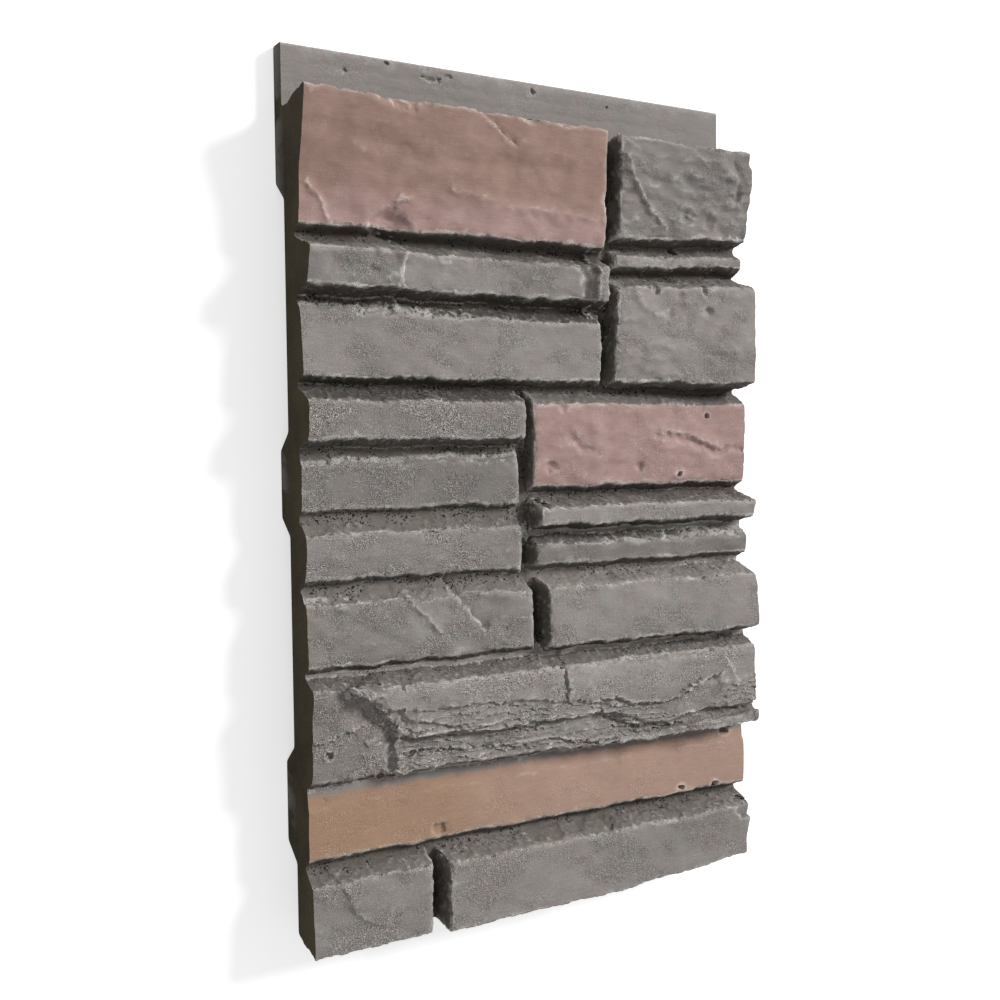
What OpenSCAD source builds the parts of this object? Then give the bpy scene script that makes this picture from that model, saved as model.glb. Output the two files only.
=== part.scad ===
// Faux stone wall panel: one moulded piece, sawn square at both ends.
// It lies on its back. X runs along the courses, Y from the bottom edge to the
// nailing flange, and Z from the wall to the stone faces.

/* [Panel] */
// Width between the two saw cuts
panel_w = 370; // [320:5:480]
// Level of the bare joint floors above the wall
floor_z = 29; // [27:1:31]
// Height of the nailing flange above the top edge of the stones
flange_h = 35; // [24:1:50]
// Thickness of the nailing flange
flange_t = 12.7; // [9:0.1:18]
// How far the top blocks lean out over the foot of the flange
top_overhang = 7; // [0:1:10]
// How far the lap rebate's edge stands above the foot of the stones
bottom_slope = 9; // [4:1:14]

/* [Back] */
// Depth of the channels between the back ribs
channel_depth = 14; // [8:1:18]
// Depth of the lap rebate along the bottom edge
rebate_depth = 15.5; // [14:0.5:20]
// Height of the lap rebate
rebate_h = 57; // [45:1:70]
// Flat width of the lower back rib
lower_rib_w = 54; // [30:1:70]
// Flat width of the middle back rib
middle_rib_w = 45; // [30:1:60]
// Flat width of the upper back rib, which runs on into the flange
upper_rib_w = 90; // [60:1:120]
// Width of the lower channel, ramps left out
lower_channel_w = 141; // [120:1:160]
// Width of each ramp beside a rib
ramp_w = 12; // [8:1:16]
// Radius of the rounded back corners
back_round = 3; // [1:0.5:4]

/* [Courses] */
// Height of the bottom course up to its joint
bottom_h = 58; // [48:1:70]
// Height of the tan course, joint to joint
tan_h = 52; // [42:1:64]
// Height of the layered course
layered_h = 75; // [64:1:92]
// Height of the first left block above the layered course
left_1_h = 57; // [44:1:66]
// Height of the second left block
left_2_h = 46; // [36:1:52]
// Height of the third left block
left_3_h = 46; // [38:1:54]
// Height of the fourth left block
left_4_h = 41; // [34:1:50]
// Height of the first right block above the layered course
right_1_h = 58; // [46:1:66]
// Height of the second right block
right_2_h = 29; // [24:1:34]
// Height of the third right block
right_3_h = 27; // [22:1:30]
// Height of the fifth left block, above the joint that crosses the panel
left_5_h = 58; // [46:1:66]
// Height of the split ledge above it
ledge_h = 40; // [34:1:46]
// Height of the rose block at the top left
rose_h = 92; // [80:1:110]
// Height of the fifth right block
right_5_h = 84; // [76:1:98]
// Height of the thin bead above it
bead_h = 21; // [18:1:24]

/* [Upright joints] */
// Distance of the bottom course's upright joint from the left cut
joint_bottom_x = 93; // [70:1:130]
// Distance of the lower band's upright joint from the left cut
joint_lower_x = 169; // [150:1:200]
// Distance of the upper band's upright joint from the left cut
joint_upper_x = 240; // [210:1:270]
// How far the lower band's upright joint stands to the right beside its first blocks
joint_step = 8; // [0:1:14]
// How far the upper band's upright joint leans to the right on its way up
joint_lean = 8; // [0:1:12]
// Width of the floor of an upright joint
upright_floor = 5; // [3:0.5:7]

/* [Faces] */
// Face of the short bottom block above the wall
short_block_z = 44; // [40:1:54]
// Face of the long bottom block
long_block_z = 49; // [42:1:54]
// Face of the tan course
tan_z = 39; // [37:1:50]
// Face of the layered course where its layers have broken away
layered_z = 47; // [42:1:54]
// Thickness of the layers that are left
layers_t = 8; // [5:0.5:10]
// Face of the first left block
left_1_z = 43; // [38:1:54]
// Face of the second left block
left_2_z = 41; // [38:1:54]
// Face of the third left block
left_3_z = 38; // [37:1:50]
// Face of the fourth left block
left_4_z = 50; // [42:1:58]
// Face of the first right block
right_1_z = 54; // [44:1:56]
// Face of the second right block
right_2_z = 45; // [42:1:54]
// Face of the third right block
right_3_z = 54; // [44:1:58]
// Face of the rose block in the lower band
right_4_z = 43; // [38:1:52]
// Face of the fifth left block
left_5_z = 42; // [38:1:54]
// Face of the split ledge
ledge_z = 50; // [44:1:56]
// Face of the rose block at the top left
rose_z = 45; // [40:1:54]
// Face of the fifth right block
right_5_z = 51; // [42:1:54]
// Face of the thin bead
bead_z = 41; // [38:1:46]
// Face of the undulating block at the top right
top_right_z = 49; // [42:1:54]

/* [Joints] */
// Width of the floor of a level joint
joint_floor = 3; // [2:0.5:4]
// Run of a block's upper wall
lean_top = 8; // [5:0.5:9]
// Run of a block's lower wall
lean_bottom = 4; // [2:0.5:6]
// Run of a block's end walls
lean_end = 3; // [2:0.5:5]
// Drop of a worn edge below the face
edge_drop = 1.2; // [0.6:0.2:3]
// Width of a worn edge
edge_w = 2; // [1.5:0.5:4]

/* [Relief] */
// Wander of the block outlines
outline_wave = 1.4; // [0:0.1:2]
// Height of the waves in a block's face
face_wave = 0.7; // [0:0.1:1.4]
// Height of the waves along the torn layers
layer_wave = 1.6; // [0:0.1:2.5]
// Greatest bend of the torn layers' edges out of level
layer_bend = 12; // [0:1:13]
// Rise of the long bottom block's lower edge at the right cut
corner_rise = 6; // [0:0.5:8]
// Greatest spacing of the stations along the courses
pitch_x = 12; // [11:1:20]
// Greatest spacing of the stations up the panel
pitch_y = 9; // [8:1:16]

/* [Hidden] */

// Joint lines, measured from the bottom edge
y_tan = bottom_h;
y_layered = y_tan + tan_h;
y_lower = y_layered + layered_h;
y_left_2 = y_lower + left_1_h;
y_left_3 = y_left_2 + left_2_h;
y_left_4 = y_left_3 + left_3_h;
y_upper = y_left_4 + left_4_h;
y_right_2 = y_lower + right_1_h;
y_right_3 = y_right_2 + right_2_h;
y_right_4 = y_right_3 + right_3_h;
y_ledge = y_upper + left_5_h;
y_rose = y_ledge + ledge_h;
y_top = y_rose + rose_h;
y_bead = y_upper + right_5_h;
y_top_right = y_bead + bead_h;
panel_h = y_top + flange_h;

// The stonework stands on the slab at this level, between the bottom edge and the shoulder
seat_z = 22;
seat_foot = bottom_slope * (short_block_z - seat_z) / (short_block_z - rebate_depth);
shoulder = y_top - top_overhang;

// Joint lines that lie outside the panel: a stone runs past them to the saw cut,
// to the bottom edge or to the top edge
half_x = upright_floor / 2;
half_y = joint_floor / 2;
left_end = -half_x - lean_end - edge_w;
right_end = panel_w - left_end;
below = -half_y - lean_bottom;
above = y_top + half_y + lean_top;

// Where the layers are torn off, how steep the tear is, and how far it stands to
// the right of that place, from the foot of the course to its top
tear_x = 46;
tear_run = 2.5;
tear_line = [0, 12, 11, 12, 6, -6, -12, -26, 0];
// Shares of the layered course's height at which a new layer starts, the lowest first
layer_starts = [0.19, 0.32, 0.58];
// Bends of the layers' edges as shares of layer_bend, from the left cut to the right one
layer_bends = [
    [0.19, 0.19, 0.32, 0.32, 0.07, -0.44, -0.44, -0.25, 0],
    [0.62, 0.62, 0.32, 0.19, 0.32, 0.25, -0.87, -0.32, -0.38],
    [0.75, 0.75, 0.32, 0.25, -0.19, -0.38, -1, -0.19, -0.19]
];
// What each layer adds to the thickness, at the tear and at the right cut
layer_steps = [[-3, 6], [-6, -2], [-1.5, 3], [0, 1]];

// Distance over which the rows of the stonework follow its bottom and top edges
edge_reach = 24;

// Stations closer than this are merged
merge = 0.6;

// A slow wander with a ragged edge, from -1 to 1, over a place in millimetres
function wander(x, y, seed) =
    (sin(x * 5.1 + y * 1.7 + seed * 97) + 0.7 * sin(x * 13.7 - y * 2.3 + seed * 53)
        + 0.5 * sin(x * 23.3 + y * 3.1 + seed * 29)) / 2.2;

// Soft swells of a face, from -1 to 1
function swell(x, y, seed) =
    (sin(x * 4.3 + y * 3.1 + seed * 61) + 0.8 * sin(x * 9.7 - y * 11.3 + seed * 17)
        + 0.5 * sin(x * 2.9 + y * 19.9 + seed * 41)) / 2.3;

function clamp01(t) = min(1, max(0, t));

// 1 at a centre, falling to 0 at a distance of reach
function near(t, centre, reach) = max(0, 1 - abs(t - centre) / reach);

// The value at share t along a list of evenly spaced values
function along(values, t) =
    let (n = len(values) - 1, k = min(n - 1, floor(clamp01(t) * n)), f = clamp01(t) * n - k)
    values[k] * (1 - f) + values[k + 1] * f;

// The value at shares u and v in a table of columns, left to right, each listed upwards
function in_table(table, u, v) =
    let (n = len(table) - 1, k = min(n - 1, floor(clamp01(u) * n)), f = clamp01(u) * n - k)
    along(table[k], v) * (1 - f) + along(table[k + 1], v) * f;

function sorted(list) =
    len(list) < 2 ? list :
    let (pivot = list[floor(len(list) / 2)])
    concat(
        sorted([for (t = list) if (t < pivot) t]),
        [for (t = list) if (t == pivot) t],
        sorted([for (t = list) if (t > pivot) t])
    );

// Stations from 0 to end: the given ones in order, merged where they crowd and
// filled in where they are more than pitch apart
function stations(list, end, pitch) =
    let (
        inner = sorted([for (t = list) if (t > merge && t < end - merge) t]),
        kept = [for (k = [0:len(inner) - 1]) if (k == 0 || inner[k] - inner[k - 1] > merge) inner[k]],
        all = concat([0], kept, [end])
    )
    concat(
        [for (k = [0:len(all) - 2]) let (gap = all[k + 1] - all[k], n = ceil(gap / pitch))
            for (i = [0:n - 1]) all[k] + gap * i / n],
        [end]
    );

// One stone: the joint lines to its left and right, below and above, its face
// level, and its relief, which is added to that level in columns from left to
// right, each listed upwards
stones = [
    // The bottom course
    [left_end, joint_bottom_x, below, y_tan, short_block_z, [[1, -1, -2], [1, 1, -1], [0, 1, 0]]],
    [joint_bottom_x, right_end, below, y_tan, long_block_z,
        [[1, 1, 1, -1], [0, 1, 2, 0], [0, 1, 2, 1], [-1, 0, 2, 3], [-3, -3, 3, 7]]],
    // The tan course
    [left_end, right_end, y_tan, y_layered, tan_z, [[-1, -2, -1], [0, 0, -1], [2, 2, 1], [3, 4, 3]]],
    // The layered course, without its layers
    [left_end, right_end, y_layered, y_lower, layered_z,
        [[-2, 0, -1, 3, 0], [-1, 1, 1, 2, 0], [-1, 0, 0, 1, 0], [0, 0, 0, 0, 0]]],
    // The lower band, left blocks from the bottom up
    [left_end, joint_lower_x, y_lower, y_left_2, left_1_z, [[0, -1, -5], [0, 0, -2], [1, 1, 0], [2, 3, 1]]],
    [left_end, joint_lower_x, y_left_2, y_left_3, left_2_z, [[-3, 2, 0], [-2, 1, 0], [0, 2, 0]]],
    [left_end, joint_lower_x, y_left_3, y_left_4, left_3_z, [[-2, -2, -2], [-1, 0, -1], [1, 2, 1]]],
    [left_end, joint_lower_x, y_left_4, y_upper, left_4_z, [[-1, 1, 0], [-1, 0, 1], [0, 1, -1]]],
    // The lower band, right blocks from the bottom up
    [joint_lower_x, right_end, y_lower, y_right_2, right_1_z,
        [[-4, -4, -4, -7], [-1, 0, -1, -4], [2, 4, 2, -2], [7, 8, 6, -2]]],
    [joint_lower_x, right_end, y_right_2, y_right_3, right_2_z, [[-1, 0], [0, 1], [1, 1]]],
    [joint_lower_x, right_end, y_right_3, y_right_4, right_3_z, [[-3, -1], [-2, 0], [-1, 2], [0, 6]]],
    [joint_lower_x, right_end, y_right_4, y_upper, right_4_z,
        [[-3, -1, -2], [-1, 1, -1], [0, 1, 0], [0, 2, 1]]],
    // The upper band, left blocks from the bottom up
    [left_end, joint_upper_x, y_upper, y_ledge, left_5_z, [[1, -1, -5], [1, 0, -2], [2, 1, 0], [2, 2, 0]]],
    [left_end, joint_upper_x, y_ledge, y_rose, ledge_z,
        [[2, 3, 7], [1, 2, 6], [-4, -3, -1], [-4, -2, -1], [-1, 0, 0]]],
    [left_end, joint_upper_x, y_rose, above, rose_z,
        [[-7, -5, -3, 3, 7], [-4, -1, 0, 3, 4], [-2, 1, 0, 1, 2], [-1, 1, 1, 1, 1]]],
    // The upper band, right blocks from the bottom up
    [joint_upper_x, right_end, y_upper, y_bead, right_5_z, [[-5, -5, -5], [-3, -1, -4], [2, 3, 0], [7, 8, 6]]],
    [joint_upper_x, right_end, y_bead, y_top_right, bead_z, [[-1, 0], [0, 0], [1, 0]]],
    [joint_upper_x, right_end, y_top_right, above, top_right_z,
        [[-4, -3, -2, -2, -3], [-4, -2, -1, 1, -1], [-3, -1, 2, 8, 2]]]
];

// Cement in the joints: the joint line and the cement's level at its left and right ends
fills = [
    [y_tan, 31, 30],
    [y_layered, 36, 40],
    [y_lower, 36, 42],
    [y_left_2, 31, 35],
    [y_left_3, 31, 32],
    [y_left_4, 33, 31],
    [y_right_3, 31, 39],
    [y_right_4, 31, 33],
    [y_upper, 32, 30],
    [y_ledge, 33, 31],
    [y_top_right, 30, 32]
];

// Runs of the lower and upper walls of a stone, and the width of its worn edges
function stone_h(s) = s[3] - s[2];
function lower_run(s) = min(lean_bottom, stone_h(s) / 6);
function upper_run(s) = min(lean_top, stone_h(s) / 4);
function worn(s) = min(edge_w, stone_h(s) / 6);

// Places of the foot, the edge and the shoulder of both walls between two joint lines
function wall_lines(lo, hi, half, run_lo, run_hi, w) = [
    lo + half, lo + half + run_lo, lo + half + run_lo + w,
    hi - half - run_hi - w, hi - half - run_hi, hi - half
];

function x_lines() = concat(
    [tear_x, tear_x + tear_run],
    [for (s = stones) each wall_lines(s[0], s[1], half_x, lean_end, lean_end, worn(s))]
);

function y_lines() = concat(
    [for (v = layer_starts) each [y_layered + v * layered_h, y_layered + v * layered_h + 1.2]],
    [for (s = stones) each wall_lines(s[2], s[3], half_y, lower_run(s), upper_run(s), worn(s))]
);

// How far up a wall a place lies: 0 at its foot, 1 at its edge and 2 at its shoulder
function climbed(d, run, w) = d < run ? d / run : 1 + (d - run) / w;

// What the split layers add to the layered course
function layers(x, y) =
    let (
        v = (y - y_layered) / layered_h,
        k = len([for (start = layer_starts) if (v > start + 0.001) start]),
        u = clamp01((x - tear_x) / (panel_w - tear_x)),
        step = layer_steps[k]
    )
    clamp01((x - tear_x) / tear_run)
        * (layers_t + step[0] * (1 - u) + step[1] * u
            + (k < len(layer_starts) ? layer_wave : face_wave) * wander(x * 1.3, k * 40, k));

// Level of stone number k at a place, or 0 outside it
function stone_z(k, x, y) =
    let (
        s = stones[k],
        m = min(
            climbed(x - s[0] - half_x, lean_end, worn(s)),
            climbed(s[1] - half_x - x, lean_end, worn(s)),
            climbed(y - s[2] - half_y, lower_run(s), worn(s)),
            climbed(s[3] - half_y - y, upper_run(s), worn(s))
        ),
        u = (x - max(0, s[0])) / (min(panel_w, s[1]) - max(0, s[0])),
        v = (y - max(0, s[2])) / (min(y_top, s[3]) - max(0, s[2])),
        split = s[2] == y_layered ? layers(x, y) : 0,
        face = s[4] + in_table(s[5], u, v) + split + face_wave * swell(x, y, k)
    )
    m <= 0 ? 0 :
    m < 1 ? floor_z + (face - edge_drop - floor_z) * m :
    face - edge_drop * max(0, 2 - m);

// Level of the cement or the bare ground at a place
function ground_z(x, y) = max(concat(
    [floor_z],
    [for (f = fills) f[1] + (f[2] - f[1]) * x / panel_w - 2 * max(0, abs(y - f[0]) - lean_top)]
));

function surface_z(x, y) = max(concat([ground_z(x, y)], [for (k = [0:len(stones) - 1]) stone_z(k, x, y)]));

// Sideways shift of a place: the upright joints' step and lean, and the slanting tear
function shift_x(x, y) =
    near(x, joint_lower_x, 60) * joint_step * clamp01((y_left_2 + 5 - y) / 10) * clamp01((y - y_tan) / tan_h)
        + near(x, joint_upper_x, 60) * joint_lean * (clamp01((y - y_upper) / (y_top - y_upper)) - 0.3)
        * clamp01((y - y_left_4) / left_4_h)
        + near(x, tear_x + 1, tear_x) * along(tear_line, (y - y_layered) / layered_h);

// Bend of the layered course at shares u and v of its width and height: the bends of the
// layers' edges below and above, mixed
function bend(u, v) =
    let (
        marks = concat([0], layer_starts, [1]),
        bends = concat([0], [for (b = layer_bends) along(b, u)], [0]),
        k = min(len(layer_starts), len([for (start = layer_starts) if (v >= start) start])),
        f = (v - marks[k]) / (marks[k + 1] - marks[k])
    )
    bends[k] * (1 - f) + bends[k + 1] * f;

// Shift of a place up the panel: wandering outlines, bent layers and the risen corner
function shift_y(x, y) =
    let (v = clamp01((y - y_layered) / layered_h), u = x / panel_w)
    outline_wave * wander(x, y, 1)
        + layer_bend * bend(u, v)
        + corner_rise * clamp01(2.5 * u - 1.5) * clamp01(1 - y / 24);

// The corner b of an outline, rounded to radius r between its neighbours a and c
function rounded(a, b, c, r) =
    let (
        u = (a - b) / norm(a - b),
        w = (c - b) / norm(c - b),
        half = acos(u * w) / 2,
        centre = b + (u + w) / norm(u + w) * r / sin(half),
        start = b + u * r / tan(half) - centre,
        end = b + w * r / tan(half) - centre,
        steps = 4
    )
    [for (k = [0:steps]) let (d = start * (1 - k / steps) + end * k / steps) centre + d / norm(d) * r];

// The back of the panel in Y and Z, from the bottom edge up: lap rebate, ribs and channels
function back_line() =
    let (
        lower_rib = rebate_h + ramp_w,
        lower_channel = lower_rib + lower_rib_w + ramp_w,
        middle_rib = lower_channel + lower_channel_w + ramp_w,
        upper_channel = middle_rib + middle_rib_w + ramp_w,
        upper_rib = panel_h - upper_rib_w,
        corners = [
            [seat_foot, seat_z],
            [bottom_slope, rebate_depth],
            [lower_rib - ramp_w, rebate_depth],
            [lower_rib, 0],
            [lower_channel - ramp_w, 0],
            [lower_channel, channel_depth],
            [middle_rib - ramp_w, channel_depth],
            [middle_rib, 0],
            [upper_channel - ramp_w, 0],
            [upper_channel, channel_depth],
            [upper_rib - ramp_w, channel_depth],
            [upper_rib, 0],
            [panel_h, 0]
        ],
        last = len(corners) - 1
    )
    concat([for (k = [1:last - 1]) each rounded(corners[k - 1], corners[k], corners[k + 1], back_round)],
        [corners[last]]);

// Triangles between two rows of points that both run up the panel, given as lists
// of numbers of points, each row with its places in Y
function zipped(a, ya, b, yb, i = 0, j = 0) =
    i == len(a) - 1 && j == len(b) - 1 ? [] :
    j == len(b) - 1 || (i < len(a) - 1 && ya[i + 1] <= yb[j + 1])
        ? concat([[a[i], a[i + 1], b[j]]], zipped(a, ya, b, yb, i + 1, j))
        : concat([[a[i], b[j + 1], b[j]]], zipped(a, ya, b, yb, i, j + 1));

function turned(faces) = [for (f = faces) [f[0], f[2], f[1]]];

// The whole moulding as one closed surface. The stonework is a grid over stations
// in both directions. Its walls go down to a seat line all round and lean out over
// the bottom edge and over the foot of the flange. The flange, the ribs and the
// channels run straight from one saw cut to the other.
module moulding() {
    xs = stations(x_lines(), panel_w, pitch_x);
    ys = stations(y_lines(), y_top, pitch_y);
    m = len(xs);
    n = len(ys);
    // Share of the way from the seat up to a face of ordinary height
    function raised(z) = clamp01((z - seat_z) / (short_block_z - seat_z));
    // How far the bottom edge and the top edge are from their stations, at each station in X.
    // The rows beside them follow, less and less over the distance edge_reach.
    foot_dy = [for (x = xs) max(seat_foot * (1 - raised(surface_z(x, 0))), shift_y(x, 0) - outline_wave / 4)];
    head_dy = [for (x = xs) (raised(surface_z(x, y_top)) - 1) * top_overhang];
    function x_of(i, j) = xs[i] + (i == 0 || i == m - 1 ? 0 : shift_x(xs[i], ys[j]));
    function y_of(i, j) =
        let (
            at_foot = clamp01(1 - ys[j] / edge_reach),
            at_head = clamp01(1 - (y_top - ys[j]) / edge_reach)
        )
        ys[j] + shift_y(xs[i], ys[j])
            + (foot_dy[i] - shift_y(xs[i], 0)) * at_foot
            + (head_dy[i] - shift_y(xs[i], y_top)) * at_head;
    stones_up = [for (i = [0:m - 1]) for (j = [0:n - 1])
        [x_of(i, j), y_of(i, j), surface_z(xs[i], ys[j])]];
    // The rim of the grid, counter-clockwise from above, and the seat line below it
    rim = concat(
        [for (i = [0:m - 2]) i * n],
        [for (j = [0:n - 2]) (m - 1) * n + j],
        [for (i = [m - 1:-1:1]) i * n + n - 1],
        [for (j = [n - 1:-1:1]) j]
    );
    around = len(rim);
    function seat_y(j) = seat_foot + (shoulder - seat_foot) * ys[j] / y_top;
    seat = [for (r = rim) [stones_up[r][0], seat_y(r % n), seat_z]];
    back = back_line();
    ends = concat(back, [[shoulder, flange_t], [panel_h, flange_t]]);
    points = concat(
        stones_up,
        seat,
        [for (e = ends) [0, e[0], e[1]]],
        [for (e = ends) [panel_w, e[0], e[1]]]
    );
    // Numbers of points: the seat line's sides, and the section's points at each cut
    first_seat = m * n;
    bottom_side = [for (i = [0:m - 1]) first_seat + i];
    right_side = [for (j = [0:n - 1]) first_seat + m - 1 + j];
    top_side = [for (i = [0:m - 1]) first_seat + m + n - 2 + i];
    left_side = [for (j = [0:n - 1]) first_seat + (around - j) % around];
    at_left = first_seat + around;
    at_right = at_left + len(ends);
    b = len(back);
    seat_ys = [for (j = [0:n - 1]) seat_y(j)];
    front_ys = concat(seat_ys, [shoulder, panel_h]);
    back_ys = [for (e = back) e[0]];
    function cut(side, at) =
        zipped(concat(side, [at + b, at + b + 1]), front_ys, [for (k = [0:b - 1]) at + k], back_ys);
    stone_faces = [for (i = [0:m - 2]) for (j = [0:n - 2]) let (a = i * n + j, c = a + n)
        each (i + j) % 2 == 0 ? [[a, a + 1, c + 1], [a, c + 1, c]] : [[a, a + 1, c], [a + 1, c + 1, c]]];
    wall_faces = [for (k = [0:around - 1])
        let (a = first_seat + k, c = first_seat + (k + 1) % around, above_c = rim[(k + 1) % around])
        each [[a, rim[k], above_c], [a, above_c, c]]];
    back_faces = [for (k = [0:b - 2]) [at_left + k, at_right + k, at_right + k + 1, at_left + k + 1]];
    flange_faces = [
        [at_left + b - 1, at_right + b - 1, at_right + b + 1, at_left + b + 1],
        [at_left + b + 1, at_right + b + 1, at_right + b, at_left + b]
    ];
    edge_faces = [
        concat([at_left], bottom_side, [at_right]),
        concat([at_right + b], top_side, [at_left + b])
    ];
    polyhedron(points = points, faces = concat(
        stone_faces, wall_faces, back_faces, flange_faces, edge_faces,
        cut(right_side, at_right), turned(cut(left_side, at_left))));
}

// The panel about the middle of its footprint
module stone_panel() {
    color("#8b8783") translate([-panel_w / 2, -panel_h / 2, 0]) moulding();
}

stone_panel();
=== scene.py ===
# %% [markdown]
# # The looks of a faux stone wall panel
# The real panel is one piece of polyurethane foam, moulded against a dry-stacked
# stone wall, painted on its face and sawn off square at both ends. The packed
# model holds its shape and sizes. This lesson gives it the fine relief, the paint
# and the light, and leaves every size as it is.

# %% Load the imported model
import math

import bmesh
import bpy
import numpy as np
from mathutils import Matrix, Quaternion, Vector, kdtree, noise


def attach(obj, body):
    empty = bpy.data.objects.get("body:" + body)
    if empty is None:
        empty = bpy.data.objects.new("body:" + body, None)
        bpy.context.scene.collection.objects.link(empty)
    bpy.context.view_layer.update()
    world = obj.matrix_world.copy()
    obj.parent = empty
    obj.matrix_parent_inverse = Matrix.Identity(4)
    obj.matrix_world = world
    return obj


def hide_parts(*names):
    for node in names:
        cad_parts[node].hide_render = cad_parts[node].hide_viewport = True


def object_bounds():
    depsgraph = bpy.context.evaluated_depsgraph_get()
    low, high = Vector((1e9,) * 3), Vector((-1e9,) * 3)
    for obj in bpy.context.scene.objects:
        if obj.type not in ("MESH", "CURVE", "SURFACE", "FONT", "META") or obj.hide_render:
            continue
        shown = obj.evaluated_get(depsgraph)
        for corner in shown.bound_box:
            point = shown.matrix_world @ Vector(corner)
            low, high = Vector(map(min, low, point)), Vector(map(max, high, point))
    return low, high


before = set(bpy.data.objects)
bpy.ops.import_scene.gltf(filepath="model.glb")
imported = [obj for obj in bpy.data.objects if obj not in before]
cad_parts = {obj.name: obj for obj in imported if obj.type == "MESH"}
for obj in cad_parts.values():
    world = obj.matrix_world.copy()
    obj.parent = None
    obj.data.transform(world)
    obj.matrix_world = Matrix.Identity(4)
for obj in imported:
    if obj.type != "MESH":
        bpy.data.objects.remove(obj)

box_low, box_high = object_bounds()
cad_box = [list(box_low), list(box_high)]
scene = bpy.context.scene
print("The packed model measures, in mm:", [round(1000 * (b - a), 1) for a, b in zip(*cad_box)])

# %% [markdown]
# ## The camera
# The panel lies on its back and the camera looks down on it from its left, as the
# photograph does. A camera is placed by where it stands and by one turn about one
# axis, a rotation vector, because three Euler angles are harder to read.

# %% Camera
MM = 0.001
camera_place = Vector((-0.490, 0.0346, 0.7952))
camera_turn = Vector([math.radians(angle) for angle in (-2.24, -30.9, -1.33)])
bpy.ops.object.camera_add(
    location=camera_place,
    rotation=Quaternion(camera_turn.normalized(), camera_turn.length).to_euler(),
)
camera = bpy.context.object
camera.name = "studio_camera"
camera.data.lens = 45
camera.data.sensor_width = 36
scene.camera = camera
print("The camera stands", round(camera_place.length, 3), "m from the middle of the panel's back")

# %% [markdown]
# ## Small helpers
# Operators act on everything that is selected, so one helper selects a single
# object. A second adds a modifier with its settings and applies it. A third adds
# a shader node with its settings and its links. A colour is written as a hex
# value, as a paint card gives it, and turned into the linear numbers that the
# renderer works in.

# %% Helpers
def only(piece):
    """Selects one object and nothing else."""
    bpy.ops.object.select_all(action="DESELECT")
    piece.select_set(True)
    bpy.context.view_layer.objects.active = piece


def modified(piece, kind, **settings):
    """Adds a modifier to a piece and applies it."""
    only(piece)
    modifier = piece.modifiers.new(kind.lower(), kind)
    for name, value in settings.items():
        setattr(modifier, name, value)
    bpy.ops.object.modifier_apply(modifier=modifier.name)


def add_node(tree, kind, links=None, **settings):
    """Adds a node. links gives each input a socket to link from or a plain value."""
    made = tree.nodes.new(kind)
    for name, value in settings.items():
        setattr(made, name, value)
    for key, value in (links or {}).items():
        if isinstance(value, bpy.types.NodeSocket):
            tree.links.new(value, made.inputs[key])
        else:
            made.inputs[key].default_value = value
    return made


def linear(hex_colour):
    """An sRGB hex colour as the linear red, green, blue and alpha of a socket."""
    parts = [int(hex_colour[k:k + 2], 16) / 255 for k in (1, 3, 5)]
    return [c / 12.92 if c <= 0.04045 else ((c + 0.055) / 1.055) ** 2.4 for c in parts] + [1.0]


def points_of(piece):
    """The places of a mesh's vertices, one row each."""
    flat = np.empty(3 * len(piece.data.vertices), dtype=np.float32)
    piece.data.vertices.foreach_get("co", flat)
    return flat.reshape(-1, 3).astype(np.float64)


def put_points(piece, points):
    """Moves a mesh's vertices to new places."""
    piece.data.vertices.foreach_set("co", points.astype(np.float32).ravel())
    piece.data.update()


def normals_of(piece):
    """The directions that a mesh's vertices face, one row each."""
    flat = np.empty(3 * len(piece.data.vertices), dtype=np.float32)
    piece.data.vertex_normals.foreach_get("vector", flat)
    return flat.reshape(-1, 3).astype(np.float64)


# %% [markdown]
# ## Floor and light
# The photograph has a plain white ground and soft light from the right, so the
# ends of the stones that face left are dark. The floor gets a little light of its
# own where the camera sees it, which makes it white without more light on the
# panel, and it still takes the panel's shadow.

# %% Floor, sky and lamp
FLOOR_SIZE = 12.0
FLOOR_GLOW = 0.6
SKY_POWER = 0.42
LAMP_POWER = 3.2
bpy.ops.mesh.primitive_plane_add(size=FLOOR_SIZE, location=(0, 0, 0))
floor = bpy.context.object
floor.name = "studio_floor"

floor_paint = bpy.data.materials.new("white_studio_floor")
floor_paint.use_nodes = True
tree = floor_paint.node_tree
tree.nodes.clear()
seen = add_node(tree, "ShaderNodeLightPath")
seen_or_mirrored = add_node(
    tree, "ShaderNodeMath", {0: seen.outputs["Is Camera Ray"], 1: seen.outputs["Is Glossy Ray"]}, operation="MAXIMUM"
)
matt_white = add_node(tree, "ShaderNodeBsdfDiffuse", {"Color": linear("#dcdcdc")})
own_strength = add_node(tree, "ShaderNodeMath", {0: seen_or_mirrored.outputs[0], 1: FLOOR_GLOW}, operation="MULTIPLY")
own_light = add_node(tree, "ShaderNodeEmission", {"Strength": own_strength.outputs[0]})
both = add_node(tree, "ShaderNodeAddShader", {0: matt_white.outputs[0], 1: own_light.outputs[0]})
add_node(tree, "ShaderNodeOutputMaterial", {"Surface": both.outputs[0]})
floor.data.materials.append(floor_paint)

world = bpy.data.worlds.new("soft_sky")
world.use_nodes = True
tree = world.node_tree
tree.nodes.clear()
seen = add_node(tree, "ShaderNodeLightPath")
room_light = add_node(tree, "ShaderNodeBackground", {"Color": linear("#ffffff"), "Strength": SKY_POWER})
white_ground = add_node(tree, "ShaderNodeBackground", {"Color": linear("#ffffff"), "Strength": 1.0})
shown = add_node(
    tree, "ShaderNodeMixShader",
    {0: seen.outputs["Is Camera Ray"], 1: room_light.outputs[0], 2: white_ground.outputs[0]},
)
add_node(tree, "ShaderNodeOutputWorld", {"Surface": shown.outputs[0]})
scene.world = world

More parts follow.
